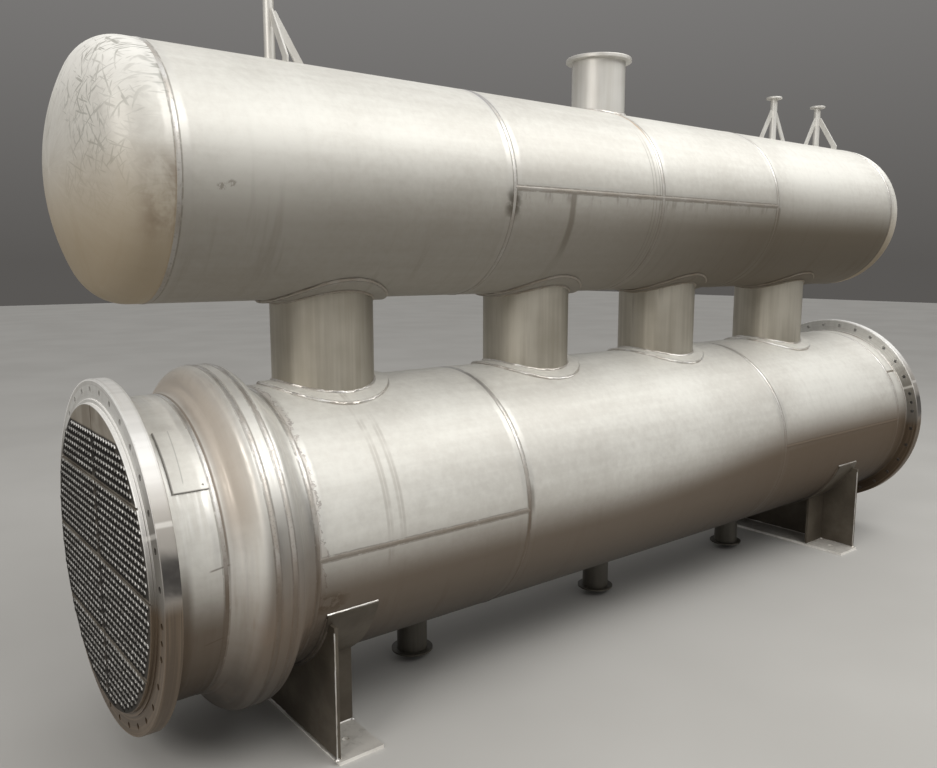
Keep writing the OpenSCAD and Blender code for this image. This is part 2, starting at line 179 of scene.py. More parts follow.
class Board:
    """A tree of nodes that is being wired."""

    def __init__(self, tree):
        self.tree = tree

    def feed(self, socket, value):
        """Links a wire to a socket, or sets it. A colour of three numbers gets its opacity here."""
        if isinstance(value, Wire):
            self.tree.links.new(value.socket, socket)
        elif socket.type == "RGBA":
            socket.default_value = (*value, 1.0)
        else:
            socket.default_value = value

    def node(self, kind, settings=None, inputs=(), output=0):
        """Adds a node: its settings first, then its inputs, by place in a list or by name."""
        node = self.tree.nodes.new(kind)
        for key, value in (settings or {}).items():
            if key == "stops":
                ramp = node.color_ramp
                while len(ramp.elements) < len(value):
                    ramp.elements.new(0.5)
                for element, (at, colour) in zip(ramp.elements, value):
                    element.position = at
                    element.color = (*colour, 1)
            else:
                setattr(node, key, value)
        pairs = inputs.items() if isinstance(inputs, dict) else enumerate(inputs)
        for key, value in pairs:
            self.feed(node.inputs[key], value)
        return Wire(self, node.outputs[output])


# %% [markdown]
# ## A material and its coordinates
#
# A material starts from where a point is on the object. On a vessel that means how far round and how
# far along it is, so those coordinates are made once for each material and every pattern reads them.
# The colour is then laid coat by coat, as a painter would: each coat has a mask that says where.


# %% Start a material with its coordinates
class Paint(Board):
    """A material under construction, with its coordinates and its colour so far."""

    def __init__(self, name):
        self.material = bpy.data.materials.new(name)
        self.material.use_nodes = True
        super().__init__(self.material.node_tree)
        self.shader = self.tree.nodes["Principled BSDF"]
        self.place = self.node("ShaderNodeTexCoord", output="Object")
        self.x, self.y, self.z = (
            self.node("ShaderNodeSeparateXYZ", inputs=[self.place], output=axis) for axis in "XYZ")

    def wrap(self, vessel):
        """Finds how far a point is over the axis and round the vessel, and lays out its skin."""
        self.radius = vessel.radius
        self.up = self.z - vessel.axis_z
        self.reach = (self.up * self.up + self.y * self.y).math("SQRT")
        self.angle = self.up.math("ARCTAN2", self.y * -1.0)
        self.climb = (self.up / self.reach).math("ARCSINE")
        self.along = self.angle * vessel.radius
        self.skin = self.vector(self.x, self.along, self.reach)

    def facing(self, axis):
        """How far the surface faces along an axis of the object."""
        normal = self.node("ShaderNodeNewGeometry", output="Normal")
        return self.node("ShaderNodeSeparateXYZ", inputs=[normal], output=axis)

    def vector(self, x, y, z):
        return self.node("ShaderNodeCombineXYZ", inputs=[x, y, z])

    def noise(self, scale, detail, roughness, at=None, warp=0.0):
        inputs = {"Vector": at or self.place, "Scale": scale, "Detail": detail,
                  "Roughness": roughness, "Distortion": warp}
        return self.node("ShaderNodeTexNoise", inputs=inputs)

    def streaks(self, across, along, detail, roughness, height=0.0):
        """A noise that is squeezed one way and drawn out the other."""
        return self.noise(1.0, detail, roughness, at=self.vector(across, along, height))

    def blend(self, share, first, second):
        inputs = {0: share, 6: first, 7: second}
        return self.node("ShaderNodeMix", {"data_type": "RGBA"}, inputs, output=2)

    def coat(self, mask, colour):
        """Lays a colour over the one so far, as densely as the mask says."""
        self.colour = self.blend(mask, self.colour, colour)

    def near(self, value, centre, half, soft):
        """1 within half of the centre, fading to 0 over the soft distance."""
        return abs(value - centre).step(half + soft, half)

    def bump(self, height, distance):
        inputs = {"Strength": 1.0, "Distance": distance, "Height": height}
        return self.node("ShaderNodeBump", inputs=inputs)

    def dull_gloss(self, level):
        """Sets the same lower gloss all over, on the shader's own socket."""
        self.shader.inputs["Specular IOR Level"].default_value = level

    def finish(self, rough, metal, normal=None):
        self.feed(self.shader.inputs["Base Color"], self.colour)
        self.feed(self.shader.inputs["Roughness"], rough)
        self.feed(self.shader.inputs["Metallic"], metal)
        if normal:
            self.feed(self.shader.inputs["Normal"], normal)
        print("material", self.material.name, "with", len(self.tree.nodes), "nodes")
        return self.material


def any_of(masks):
    """The largest of several masks."""
    whole = masks[0]
    for mask in masks[1:]:
        whole = whole.largest(mask)
    return whole


# %% [markdown]
# ## Painted shade and dust underneath
#
# The undersides are painted darker and browner. This is painted shade, with some workshop dust in
# it. It could be left to the light alone, but a pale floor throws so much light up that the real, dark
# belly would be lost. So every steel of a vessel gets this coat, which starts at some depth below the
# top and grows denser downwards. It starts and ends differently on the shell, the bellows and the
# drum, and it is darkest near the ground, as painted shade.


# %% Describe the painted shade and dust under each vessel
usual_brown = (0.118, 0.084, 0.055)


class Film:
    """The painted shade and brown dust under a vessel. Depth is -1 at the top, 0 at the axis and 1 at
    the bottom.
    """

    # The darkest brown, laid near the ground: painted shade.
    ground = (0.020, 0.014, 0.009)

    def __init__(self, vessel, depth, cover, along=(-1.0, 1.0), sooner=0.0, brown=usual_brown):
        self.vessel = vessel
        self.depth = depth
        self.cover = cover
        self.along = along
        self.sooner = sooner
        self.brown = brown

    def lay(self, paint):
        """Coats a paint with the painted shade and dust and returns how densely, from 0 to 1, it
        covers.
        """
        deeper = paint.x.step(*self.along, 0.0, self.sooner)
        depth = (self.vessel.axis_z - paint.z) / self.vessel.radius + deeper
        # Painted shade with dust: denser downwards, and darkest near the floor through the ground
        # colour.
        share = depth.step(*self.depth) * paint.x.step(*self.along, *self.cover)
        paint.coat(share, paint.blend(paint.z.step(0.50, 0.20), self.brown, self.ground))
        return share


# Painted shade with dust under each vessel: where it starts and how dense it gets.
shell_film = Film(shell, (-0.22, 0.27), (0.92, 0.985), (-0.3, 1.2), 0.24)
shell_bead_film = Film(shell, (-0.60, 0.10), (0.94, 0.97))
stub_film = Film(shell, (-0.22, 0.28), (0.92, 0.92))
bellows_film = Film(shell, (-0.30, 0.35), (0.66, 0.66), brown=(0.150, 0.100, 0.060))
drum_film = Film(drum, (-0.38, 0.42), (0.72, 0.97), (-0.9, 0.9), 0.08, (0.112, 0.090, 0.062))
head_film = Film(drum, (-0.60, 0.80), (0.68, 0.80), brown=(0.150, 0.110, 0.062))

# %% [markdown]
# ## Plate steel after pickling
#
# Rolled stainless plate that has been pickled is not a mirror. Acid leaves a fine, whitish skin, which
# spreads the light widely and still shades like metal. So the plate is mostly metallic with a middling
# roughness, and both wander: slow clouds where the acid lay longer, faint lines along the rolling,
# drips down the sides, and rubbed, brighter bands beside each seam with a thin dark line at the weld's
# toe. Each vessel passes its own seams, and the pattern follows it round by the angle about its axis.


# %% Make the plate steel of a vessel
plate_light = (0.80, 0.79, 0.745)
plate_dark = (0.63, 0.61, 0.565)
grime = (0.15, 0.125, 0.10)
straw = (0.60, 0.40, 0.20)
brushed_half = 26 * MM
toe_offset = 7.5 * MM
toe_half = 1.6 * MM
toe_soft = 2.4 * MM


def seam_masks(paint, seams, lines):
    """The rubbed band beside the seams, and the dark toes of their beads."""
    ragged = paint.noise(26.0, 4.0, 0.65, at=paint.skin) - 0.5
    bands = []
    toes = []
    for seam in seams:
        bands.append(paint.near(paint.x + ragged * 0.02, seam, brushed_half, 10 * MM))
        toes.append(paint.near(abs(paint.x + ragged * 0.004 - seam), toe_offset, toe_half, toe_soft))
    for start, end, turn in lines:
        beside = abs((paint.angle - math.radians(turn)) * paint.radius + ragged * 0.006)
        within = paint.near(paint.x, (start + end) / 2, (end - start) / 2, 5 * MM)
        bands.append(beside.step(28 * MM, 16 * MM) * within)
        toes.append(paint.near(beside, 8 * MM, toe_half, toe_soft) * within)
    return any_of(bands), any_of(toes)


def plate_steel(name, film, seams, lines, marks):
    """Pickled plate: seams are places along X, and lines are straight seams as start, end and angle."""
    paint = Paint(name)
    paint.wrap(film.vessel)
    clouds = paint.noise(1.6, 4.0, 0.55, at=paint.skin)
    rolling = paint.streaks(paint.x * 1.5, paint.along * 26.0, 3.0, 0.6)
    mottle = paint.noise(38.0, 3.0, 0.6, at=paint.skin)
    tone = clouds * 0.55 + rolling * 0.20 + mottle * 0.25
    paint.colour = paint.blend(tone.step(0.32, 0.66), plate_dark, plate_light)

    drips = paint.streaks(paint.x * 24.0, paint.along * 2.2, 3.0, 0.55).step(0.52, 0.70)
    drips = drips * (paint.climb.step(0.30, -0.7) * 0.8 + 0.12) * clouds.step(0.35, 0.6)
    paint.coat(drips * 0.24, grime)
    band, toe = seam_masks(paint, seams, lines)
    toe = toe * mottle.step(0.26, 0.50)
    paint.coat(band * 0.20, (0.84, 0.83, 0.80))
    paint.coat(toe * 0.55, grime)

    paint.rough = 0.52 + clouds * 0.12 - band * 0.10 + drips * 0.10 + (mottle - 0.5) * 0.12
    paint.metal = 0.40 - drips * 0.2 - toe * 0.3 + band * 0.15
    grain = paint.noise(420.0, 2.0, 0.5, at=paint.skin)
    brushed = paint.streaks(paint.x * 8.0, paint.along * 60.0, 2.0, 0.6) * band
    normal = paint.bump(grain * 0.25 + brushed * 0.6 + mottle * 0.5, 0.25 * MM)
    marks(paint)
    # Painted shade with dust on the underside of the vessel.
    dusty = film.lay(paint)
    paint.dull_gloss(0.35)
    return paint.finish(paint.rough + dusty * 0.12, paint.metal * (1.0 - dusty * 0.7), normal)


# %% [markdown]
# ## Marks that belong to one place
#
# Some marks are part of this very object: the ragged edge of a pickled zone behind the bellows, pale
# rings left on the first shell course, a straw coloured heat tint on the drum's middle seam, a dark
# stain where two seams meet, and the scratches of handling on the front head. Each is a small mask
# that is placed by a distance along the vessel and an angle about it.


# %% Add the shell's own marks
ring_marks = [0.240, 0.252, 0.285, 0.297]
pickled_edge = shell_seams["bellows"] + 18 * MM


def shell_marks(paint):
    """The ragged edge of the pickled zone, the ring marks, rust by the front pad, and a smudge."""
    jagged = paint.noise(24.0, 5.0, 0.72, at=paint.skin, warp=0.6) - 0.5
    from_edge = paint.x + jagged * 0.10 - pickled_edge
    behind = (paint.x - shell_seams["bellows"]).step(-1 * MM, 1 * MM)
    inside = from_edge.step(4 * MM, -2 * MM) * behind
    paint.coat(inside * 0.35, (0.56, 0.50, 0.46))
    rim = abs(from_edge).step(5 * MM, 1.5 * MM) * behind
    rim = rim * paint.noise(60.0, 2.0, 0.5, at=paint.skin).step(0.42, 0.58)
    paint.coat(rim * 0.65, (0.33, 0.29, 0.27))

    rings = [paint.near(paint.x, shell_seams["bellows"] + at, 2 * MM, 6 * MM) for at in ring_marks]
    worn = paint.noise(6.0, 3.0, 0.6, at=paint.skin).step(0.35, 0.55)
    paint.coat(any_of(rings) * worn * 0.42, (0.40, 0.37, 0.33))
    by_pad = paint.near(paint.x, start_of("front_wear_pad") - 10 * MM, 35 * MM, 60 * MM)
    rusty = by_pad * paint.near(paint.angle, -0.30, 0.03, 0.07)
    rusty = rusty * paint.noise(30.0, 4.0, 0.65, at=paint.skin).step(0.46, 0.56)
    paint.coat(rusty * 0.8, (0.06, 0.035, 0.02))
    by_seam = paint.near(paint.x, shell_seams["course_1"] + 6 * MM, 9 * MM, 14 * MM)
    paint.coat(by_seam * paint.near(paint.angle, 0.10, 0.04, 0.12) * 0.55, grime)
    paint.rough = paint.rough + inside * 0.05


# %% Add the marks of the bellows and the stub
flange_back = start_of("front_shell_stub")
stub_dashes = [(-1.872, -0.34, 0.5), (-1.859, 0.12, 0.3)]


def bellows_marks(paint):
    """Ground circles, a warm front half and a brown belly of painted shade with dust, and on the stub a
    dark weld toe, painted shade beside the flange, and stains.
    """
    ground = paint.streaks(paint.x * 75.0, paint.along * 3.5, 3.0, 0.6)
    patches = paint.noise(5.0, 3.0, 0.55, at=paint.skin)
    lower = paint.climb.step(0.15, -0.55)
    brown = ground.step(0.50, 0.70) * patches.step(0.38, 0.60) * (0.15 + lower * 0.85)
    paint.coat(brown * 0.55, (0.33, 0.24, 0.17))
    shine = ground.step(0.56, 0.36) * patches.step(0.35, 0.60)
    paint.coat(shine * 0.35, (0.86, 0.85, 0.83))
    undercut = paint.near(paint.x, shell_seams["stub"] + 9 * MM, 1.5 * MM, 3.5 * MM)
    paint.coat(undercut * paint.climb.step(-0.1, 0.3) * 0.75, (0.16, 0.12, 0.09))

    past_crest = (paint.x - shell_seams["crest_front"]).step(-60 * MM, 0.0)
    front_half = (paint.x - shell_seams["stub"]).step(0.0, 30 * MM) * (1.0 - past_crest)
    paint.coat(paint.climb.step(0.05, 0.45) * front_half * 0.75, (0.45, 0.385, 0.32))
    # Painted shade with dust: the crest and the rear half are darker and browner below.
    belly = (past_crest * 0.88 - paint.climb).step(0.15, 0.85)
    paint.coat(belly * 0.70, (0.07, 0.048, 0.032))

    toe = paint.near(paint.x, flange_back + 8 * MM, 2 * MM, 5 * MM)
    # Painted shade on the stub beside the flange, low down, laid together with the dark toe of its
    # weld.
    shaded = paint.near(paint.x, flange_back, 32 * MM, 24 * MM) * paint.climb.step(0.30, -0.05)
    paint.coat(toe.largest(shaded) * 0.7, (0.10, 0.08, 0.06))
    for x, turn, slope in stub_dashes:
        dash = paint.near(paint.angle - (paint.x - x) * slope, turn, 0.002, 0.006)
        paint.coat(dash * paint.near(paint.x, x, 20 * MM, 12 * MM) * 0.6, (0.09, 0.06, 0.04))
    worn = patches.step(0.50, 0.56) * (1.0 - patches.step(0.60, 0.66)) * lower
    paint.coat(worn * 0.30, (0.45, 0.36, 0.30))
    paint.rough = paint.rough - shine * 0.12
    paint.metal = paint.metal + shine * 0.2


# %% Add the heat tints of the drum
def heat_tints(paint, broken):
    """Straw on the middle seam and thin dark lines before it, and blue grey on the front one."""
    tint_at = drum_seams["course_2"]
    tint = paint.near(paint.x + (broken - 0.5) * 0.02, tint_at - 4 * MM, 4 * MM, 12 * MM)
    paint.coat(tint * paint.climb.step(0.45, 1.0) * 0.75, straw)
    blue = paint.near(paint.x + (broken - 0.5) * 0.01, drum_seams["course_1"], 7 * MM, 9 * MM)
    paint.coat(blue * paint.climb.step(0.55, 1.1) * 0.75, (0.36, 0.36, 0.40))
    lines = [paint.near(paint.x, tint_at - at * MM, 1 * MM, 2.5 * MM) for at in (22, 42, 60)]
    paint.coat(any_of(lines) * paint.climb.step(0.9, 0.4) * 0.35, grime)


# %% Add the drum's own marks
long_streaks = [(drum_seams["course_3"] + 4 * MM, 0.24, 16 * MM), (-0.478, 0.30, 14 * MM)]
thumb_marks = [(-1.773, 51 * MM), (-1.746, 42 * MM)]
thumb_size = (13 * MM, 9 * MM)


def drum_marks(paint):
    """Tints, a stain where two seams meet, streaks below the straight seam, and two thumb marks."""
    broken = paint.noise(14.0, 3.0, 0.6, at=paint.skin)
    heat_tints(paint, broken)
    sunk = paint.along * -1.0
    stain_x = abs(paint.x - drum_seams["course_1"] + (broken - 0.5) * 0.05)
    stain = stain_x.step(45 * MM, 10 * MM) * paint.near(sunk, 55 * MM, 15 * MM, 55 * MM)
    paint.coat(stain * broken.step(0.42, 0.54) * 0.85, (0.055, 0.050, 0.040))

    below_line = sunk.step(2 * MM, 10 * MM) * sunk.step(60 * MM, 20 * MM)
    fringe = paint.streaks(paint.x * 19.0, paint.along * 5.0, 4.0, 0.7).step(0.48, 0.66)
    middle = paint.near(paint.x, (drum_seams["course_1"] + drum_seams["course_3"]) / 2, 0.78, 0.02)
    paint.coat(below_line * fringe * middle * 0.40, grime)
    for start, length, width in long_streaks:
        fading = sunk.step(0.0, 12 * MM) * sunk.step(length, length * 0.5)
        streak = paint.near(paint.x + (broken - 0.5) * 0.012, start, width / 2, width)
        paint.coat(streak * fading * 0.6, grime)
    speckle = paint.noise(130.0, 2.0, 0.6, at=paint.skin).step(0.44, 0.56)
    for x, low in thumb_marks:
        spot = paint.vector((paint.x - x) / thumb_size[0], (paint.along + low) / thumb_size[1], 0.0)
        away = paint.node("ShaderNodeVectorMath", {"operation": "LENGTH"}, [spot], output="Value")
        paint.coat(away.step(1.4, 0.6) * speckle * 0.6, (0.24, 0.22, 0.19))


# %% [markdown]
# ## The front head
#
# The dished head was pressed and then dragged about, and it carries a thicket of short, dark scratches
# on its upper part. They are drawn by stretching a noise until only thin threads of it are left, laying
# it five times with a turn between, and letting a second, slow noise decide where the threads gather.
# Below, the head is yellowish, and a soiled patch lies beside its seam.


# %% Add the scratches and the soiling of the heads
scratch_turns = (0.4, 0.9, 1.3, 1.8, 2.3)


def head_marks(paint):
    up = paint.z - drum.axis_z
    threads = []
    for turn in scratch_turns:
        sway = paint.y * math.cos(turn) + paint.z * math.sin(turn)
        cross = paint.z * math.cos(turn) - paint.y * math.sin(turn)
        thread = paint.streaks(sway * 13.0 + turn, cross * 130.0, 2.0, 0.5, paint.x * 14.0)
        threads.append(thread.step(0.60, 0.68))
    gathered = paint.noise(3.2, 3.0, 0.5).step(0.40, 0.58)
    scratches = any_of(threads) * gathered * up.step(-0.20, 0.12)
    paint.coat(scratches * 0.55, (0.25, 0.25, 0.22))
    smear = paint.noise(5.0, 3.0, 0.6, warp=0.8).step(0.55, 0.75)
    paint.coat(smear * 0.25, (0.50, 0.47, 0.40))
    # Painted highlight: the upper part of the head is painted near white, and made less metallic.
    crown = up.step(0.12, 0.34)
    paint.coat(crown * 0.8 * (1.0 - scratches), (0.98, 0.97, 0.93))
    paint.coat(up.step(0.10, -0.25) * 0.65, (0.74, 0.60, 0.40))
    by_seam = paint.near(paint.x, drum_seams["front"] - 25 * MM, 30 * MM, 55 * MM)
    soiled = by_seam * paint.near(paint.angle, -0.25, 0.12, 0.30)
    soiled = soiled * paint.noise(9.0, 4.0, 0.65, warp=0.5).step(0.40, 0.62)
    paint.coat(soiled * 0.6, (0.26, 0.19, 0.14))
    paint.rough = paint.rough + smear * 0.08
    paint.metal = paint.metal - crown * 0.25


# %% Add the painted shadow along the edges of the bracket
def bracket_marks(paint):
    """A loose plate reads as one by the dark line along its edges: painted shadow, with dirt. This one
    is scored as well.
    """
    low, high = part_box("plate_bracket")
    lower_edge = math.atan2(low.z - shell.axis_z, -low.y)
    from_edge = (paint.angle - lower_edge) * shell.radius
    edges = any_of([from_edge.step(6 * MM, 3 * MM), paint.near(paint.x, low.x, 2 * MM, 3 * MM)])
    score = paint.near(paint.x - from_edge * 0.05, low.x + (high.x - low.x) / 3, 0.8 * MM, 1.5 * MM)
    # Painted shadow with dirt along the lower and the front edge of the plate.
    paint.coat(edges * 0.75, (0.12, 0.11, 0.10))
    paint.coat(score * from_edge.step(20 * MM, 34 * MM) * 0.45, (0.30, 0.29, 0.27))


# %% Paint the vessels
near_seam = 1.0
drum_lines = [(drum_seams["course_1"], drum_seams["course_3"], 0.0)]
shell_lines = [
    (shell_seams["bellows"], shell_seams["course_1"], near_seam),
    (shell_seams["course_2"], shell_seams["course_3"], near_seam),
]
all_shell = list(shell_seams.values())
all_drum = list(drum_seams.values())
shell_steel = plate_steel("shell_plate", shell_film, all_shell[3:], shell_lines, shell_marks)
bellows_steel = plate_steel("bellows_plate", bellows_film, all_shell[:4], (), bellows_marks)
stub_steel = plate_steel("stub_plate", stub_film, all_shell[:1], (), bellows_marks)
bracket_steel = plate_steel("bracket_plate", stub_film, all_shell[:1], (), bracket_marks)
drum_steel = plate_steel("drum_plate", drum_film, all_drum, drum_lines, drum_marks)
head_steel = plate_steel("head_plate", head_film, [all_drum[0], all_drum[-1]], (), head_marks)

# %% [markdown]
# ## Brushed pipe
#
# The risers and nozzles are pipes that were wiped along their length after rolling, so their marks run
# up and down. A pipe has its own axis, and a pattern that follows X would cut across it. The noise is
# squeezed along Z instead, and that gives the upright streaks.


# %% Make the steel of upright pipes
def pipe_steel(name, streak_depth, dark, light, metal):
    paint = Paint(name)
    clouds = paint.noise(4.0, 3.0, 0.5)
    upright = paint.streaks(paint.x * 30.0, paint.y * 30.0, 3.0, 0.6, paint.z * 1.2)
    tone = clouds * 0.55 + upright * 0.45
    paint.colour = paint.blend(tone.step(0.34, 0.66), dark, light)
    dirt = upright.step(0.58, 0.74) * clouds.step(0.4, 0.6)
    paint.coat(dirt * streak_depth, (0.25, 0.21, 0.17))
    # Painted shade: the side of each pipe that faces along +X is darker.
    paint.coat(paint.facing("X").step(0.10, 0.60) * 0.5, (0.17, 0.155, 0.125))
    normal = paint.bump(paint.noise(300.0, 2.0, 0.5) * 0.3 + upright * 0.7, 0.2 * MM)
    return paint.finish(0.42 + clouds * 0.14 + dirt * 0.1, metal - dirt * 0.2, normal)


riser_steel = pipe_steel("riser_pipe", 0.45, (0.42, 0.385, 0.32), (0.60, 0.565, 0.49), 0.80)
nozzle_steel = pipe_steel("nozzle_pipe", 0.25, (0.62, 0.60, 0.56), (0.76, 0.75, 0.72), 0.45)
# Painted shade: the drains hang under the shell, so their steel is painted dark.
drain_steel = pipe_steel("drain_pipe", 0.25, (0.060, 0.054, 0.044), (0.12, 0.11, 0.09), 0.30)

# %% [markdown]
# ## The turned tubesheet
#
# The tubesheet was turned on a lathe: its flange and rim have hair fine grooves that run in circles,
# and they are painted bright above, grey at the side and brown below, as painted light and shade, with
# a painted glint and painted highlights on the turned edges. The field round the tubes is painted
# nearly black: soot, and painted shade.
# One material does all of it. The distance from the axis says where the field ends, and a noise that is
# squeezed along that distance, and along X for the rim, draws the turned grooves.


# %% Lay out the tube field
tube_pitch = 25.4 * MM
row_pitch = tube_pitch * math.sin(math.radians(60))
tube_radius = 19.05 / 2 * MM
lane = 35 * MM
field_limit = 434 * MM
zone_rows = (6, 10, 10, 9)
zone_step = (zone_rows[1] - 1) * row_pitch + lane
zone_top = (
    zone_step + lane / 2 + (zone_rows[0] - 1) * row_pitch,
    zone_step - lane / 2,
    -lane / 2,
    -zone_step - lane / 2,
)
zone_borders = [top + lane / 2 for top in zone_top[1:]]

# %% Coat the turned flange and rim
face_radius = 450 * MM
step_radius = 462 * MM
flange_edge = (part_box("front_tubesheet")[1].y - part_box("front_tubesheet")[0].y) / 2


def turned_metal(paint, smear):
    """Painted light and shade: bright above, grey at the side and brown below, with a painted glint and
    painted highlights on the turned edges. Gives the rim's mask and how metallic it is.
    """
    turns = paint.streaks(paint.x * 110.0, paint.reach * 110.0, 2.0, 0.6, paint.angle * 0.7)
    bands = paint.streaks(paint.angle * 11.0, 0.0, 2.0, 0.5)
    near_side = (paint.y * -1.0).step(0.0, 0.1)
    on_rim = paint.reach.step(flange_edge - 1.5 * MM, flange_edge - 0.5 * MM)
    level = paint.up / paint.reach + (1.0 - on_rim) * 0.04
    paint.colour = paint.blend(on_rim, (0.76, 0.755, 0.73), (0.97, 0.965, 0.95))
    paint.coat(bands.step(0.54, 0.42) * 0.14, (0.46, 0.455, 0.43))
    paint.coat(turns.step(0.48, 0.66) * 0.25, (0.42, 0.39, 0.35))
    # Painted shade: grey at the side, below the bright top.
    grey = paint.blend(on_rim, (0.13, 0.115, 0.095), (0.34, 0.31, 0.275))
    paint.coat(level.step(0.80, 0.40) * 0.85, grey)
    # Painted highlight: a thin glint line on the near side.
    glint = paint.near(level, 0.40, 0.006, 0.012) * near_side
    paint.coat(glint * 0.45, (1.0, 0.98, 0.94))

    # Painted shade: brown and dark below.
    lower = level.step(0.10, -0.04)
    brown = paint.blend(turns.step(0.42, 0.62), (0.085, 0.055, 0.030), (0.15, 0.105, 0.065))
    paint.coat(lower * 0.90, brown)
    smudge = paint.near(level + (smear - 0.5) * 0.15, 0.155, 0.065, 0.08) * on_rim * near_side
    paint.coat(smudge * (0.78 + smear.step(0.35, 0.60) * 0.20), (0.07, 0.065, 0.062))
    # Painted highlights on the turned edges, on their upper part.
    corners = (face_radius, step_radius, flange_edge - 3.5 * MM)
    edges = any_of([paint.near(paint.reach, at, 1.0 * MM, 1.5 * MM) for at in corners])
    paint.coat(edges * level.step(0.0, 0.6), (1.0, 0.99, 0.97))
    return on_rim, 0.62 - lower * 0.3 - edges * 0.3


# %% Make the turned steel with its dark field
def turned_steel():
    paint = Paint("turned_steel")
    paint.wrap(shell)
    smear = paint.noise(7.0, 4.0, 0.6, warp=0.7)
    spots = paint.noise(90.0, 3.0, 0.6)
    grooves = paint.streaks(paint.x * 900.0, paint.reach * 900.0, 2.0, 0.5, paint.angle * 1.5)
    on_rim, metal = turned_metal(paint, smear)

    face_edge = field_limit + tube_radius + 4 * MM
    on_face = paint.reach.step(face_edge + 2 * MM, face_edge - 2 * MM)
    blank = (paint.up - zone_top[0] - tube_radius).step(4 * MM, 12 * MM)
    strip = any_of([paint.near(paint.up, border, 6 * MM, 4 * MM) for border in zone_borders])
    patchy = smear.step(0.4, 0.65)
    dull = paint.blend(patchy, (0.26, 0.22, 0.17), (0.40, 0.36, 0.30))
    # Soot and painted shade: the field round the tubes is nearly black.
    dark = paint.blend(patchy, (0.016, 0.014, 0.011), (0.045, 0.038, 0.030))
    paint.coat(on_face, paint.blend(blank.largest(strip * 0.35), dark, dull))
    soot = smear.step(0.55, 0.75) * spots.step(0.4, 0.65)
    paint.coat(soot * 0.25, (0.20, 0.16, 0.13))
    field = on_face * (1.0 - blank)
    rough = 0.36 + field * 0.45 + on_rim * 0.12 + smear * 0.10 + soot * 0.12
    normal = paint.bump(grooves * 0.6 + spots * on_face * 0.4, 0.12 * MM)
    return paint.finish(rough, metal * (1.0 - field), normal)


sheet_steel = turned_steel()

# %% [markdown]
# ## Tubes, welds and saddles
#
# A tube end is a thin ring that catches the light from above, so it is painted bright only on its
# upper side, as a painted highlight, and dark below and inside, as painted shade with soot. Which side
# that is could be modelled as two pieces, but the height over the nearest row of tubes tells it to one
# material. Weld metal is bright as well, and where it lies on a vessel it takes the vessel's painted
# shade and dust. The saddles stand in the dark under the shell: their upright plates are painted dark,
# as painted shade, and their base plates are painted pale, as painted light.


# %% Make the steel of the tubes
def over_row(up):
    """Height over the middle of the nearest row of tubes."""
    top = zone_top[-1]
    for above, below, border in zip(zone_top, zone_top[1:], zone_borders):
        top = up.math("GREATER_THAN", border) * (above - below) + top
    rows_down = (top - up) / row_pitch
    return (rows_down.math("ROUND") - rows_down) * row_pitch


def drawn_tube_steel():
    """Tube ends are painted bright on their upper side, a painted highlight, and dark below it and
    inside, painted shade.
    """
    paint = Paint("tube_steel")
    paint.wrap(shell)
    speck = paint.noise(45.0, 2.0, 0.5)
    upper_row = (paint.up - zone_top[0]).step(-8 * MM, -4 * MM)
    faint = paint.blend(speck.step(0.35, 0.65), (0.34, 0.33, 0.31), (0.80, 0.79, 0.76))
    shine = paint.blend(upper_row, faint, (0.95, 0.94, 0.92))
    middle = (start_of("upper_tubes") + end_of("upper_tubes")) / 2
    from_mouth = (end_of("upper_tubes") - start_of("upper_tubes")) / 2 - abs(paint.x - middle)
    # Painted highlight on the upper side of each tube end; below it, and inside beyond the mouth,
    # painted shade.
    lit = over_row(paint.up).step(1 * MM, 3 * MM) * paint.facing("Z").step(-0.2, 0.1)
    lit = lit * from_mouth.step(6 * MM, 3 * MM)
    paint.colour = paint.blend(lit, (0.014, 0.012, 0.010), shine)
    return paint.finish(0.65 - lit * 0.3, lit * 0.85)


# Painted shade with soot: the lower faces of the tube end rings are nearly black.
def sooty_steel():
    paint = Paint("sooty_weld")
    speck = paint.noise(60.0, 2.0, 0.5)
    paint.colour = paint.blend(speck.step(0.4, 0.7), (0.014, 0.012, 0.009), (0.050, 0.042, 0.034))
    paint.dull_gloss(0.2)
    return paint.finish(0.80, 0.0)


# %% Make the steel of the welds
def weld_steel(name, darkness, film=None, dullness=0.0):
    """Bright weld metal. On a vessel it takes the vessel's painted shade and dust, and a grey tint near
    the top.
    """
    paint = Paint(name)
    tint = paint.noise(9.0, 3.0, 0.6)
    speck = paint.noise(120.0, 3.0, 0.6)
    paint.colour = paint.blend(tint.step(0.35, 0.68), (0.62, 0.58, 0.53), (0.84, 0.83, 0.81))
    paint.coat(speck.step(0.52, 0.75) * darkness, grime)
    paint.coat(dullness, (0.30, 0.26, 0.21))
    rough = 0.32 + speck * 0.22
    metal = 0.85
    if film:
        high = ((paint.z - film.vessel.axis_z) / film.vessel.radius).step(0.70, 0.95)
        tinted = paint.near(paint.x, drum_seams["course_1"], 20 * MM, 1 * MM)
        paint.coat(high * (0.15 + tinted * 0.5), (0.42, 0.41, 0.42))
        # Painted shade with dust under the vessel.
        dusty = film.lay(paint)
        rough = rough + dusty * 0.3
        metal = 0.85 - dusty * 0.85
    normal = paint.bump(speck * 0.7 + paint.noise(260.0, 2.0, 0.5) * 0.5, 0.5 * MM)
    return paint.finish(rough, metal, normal)


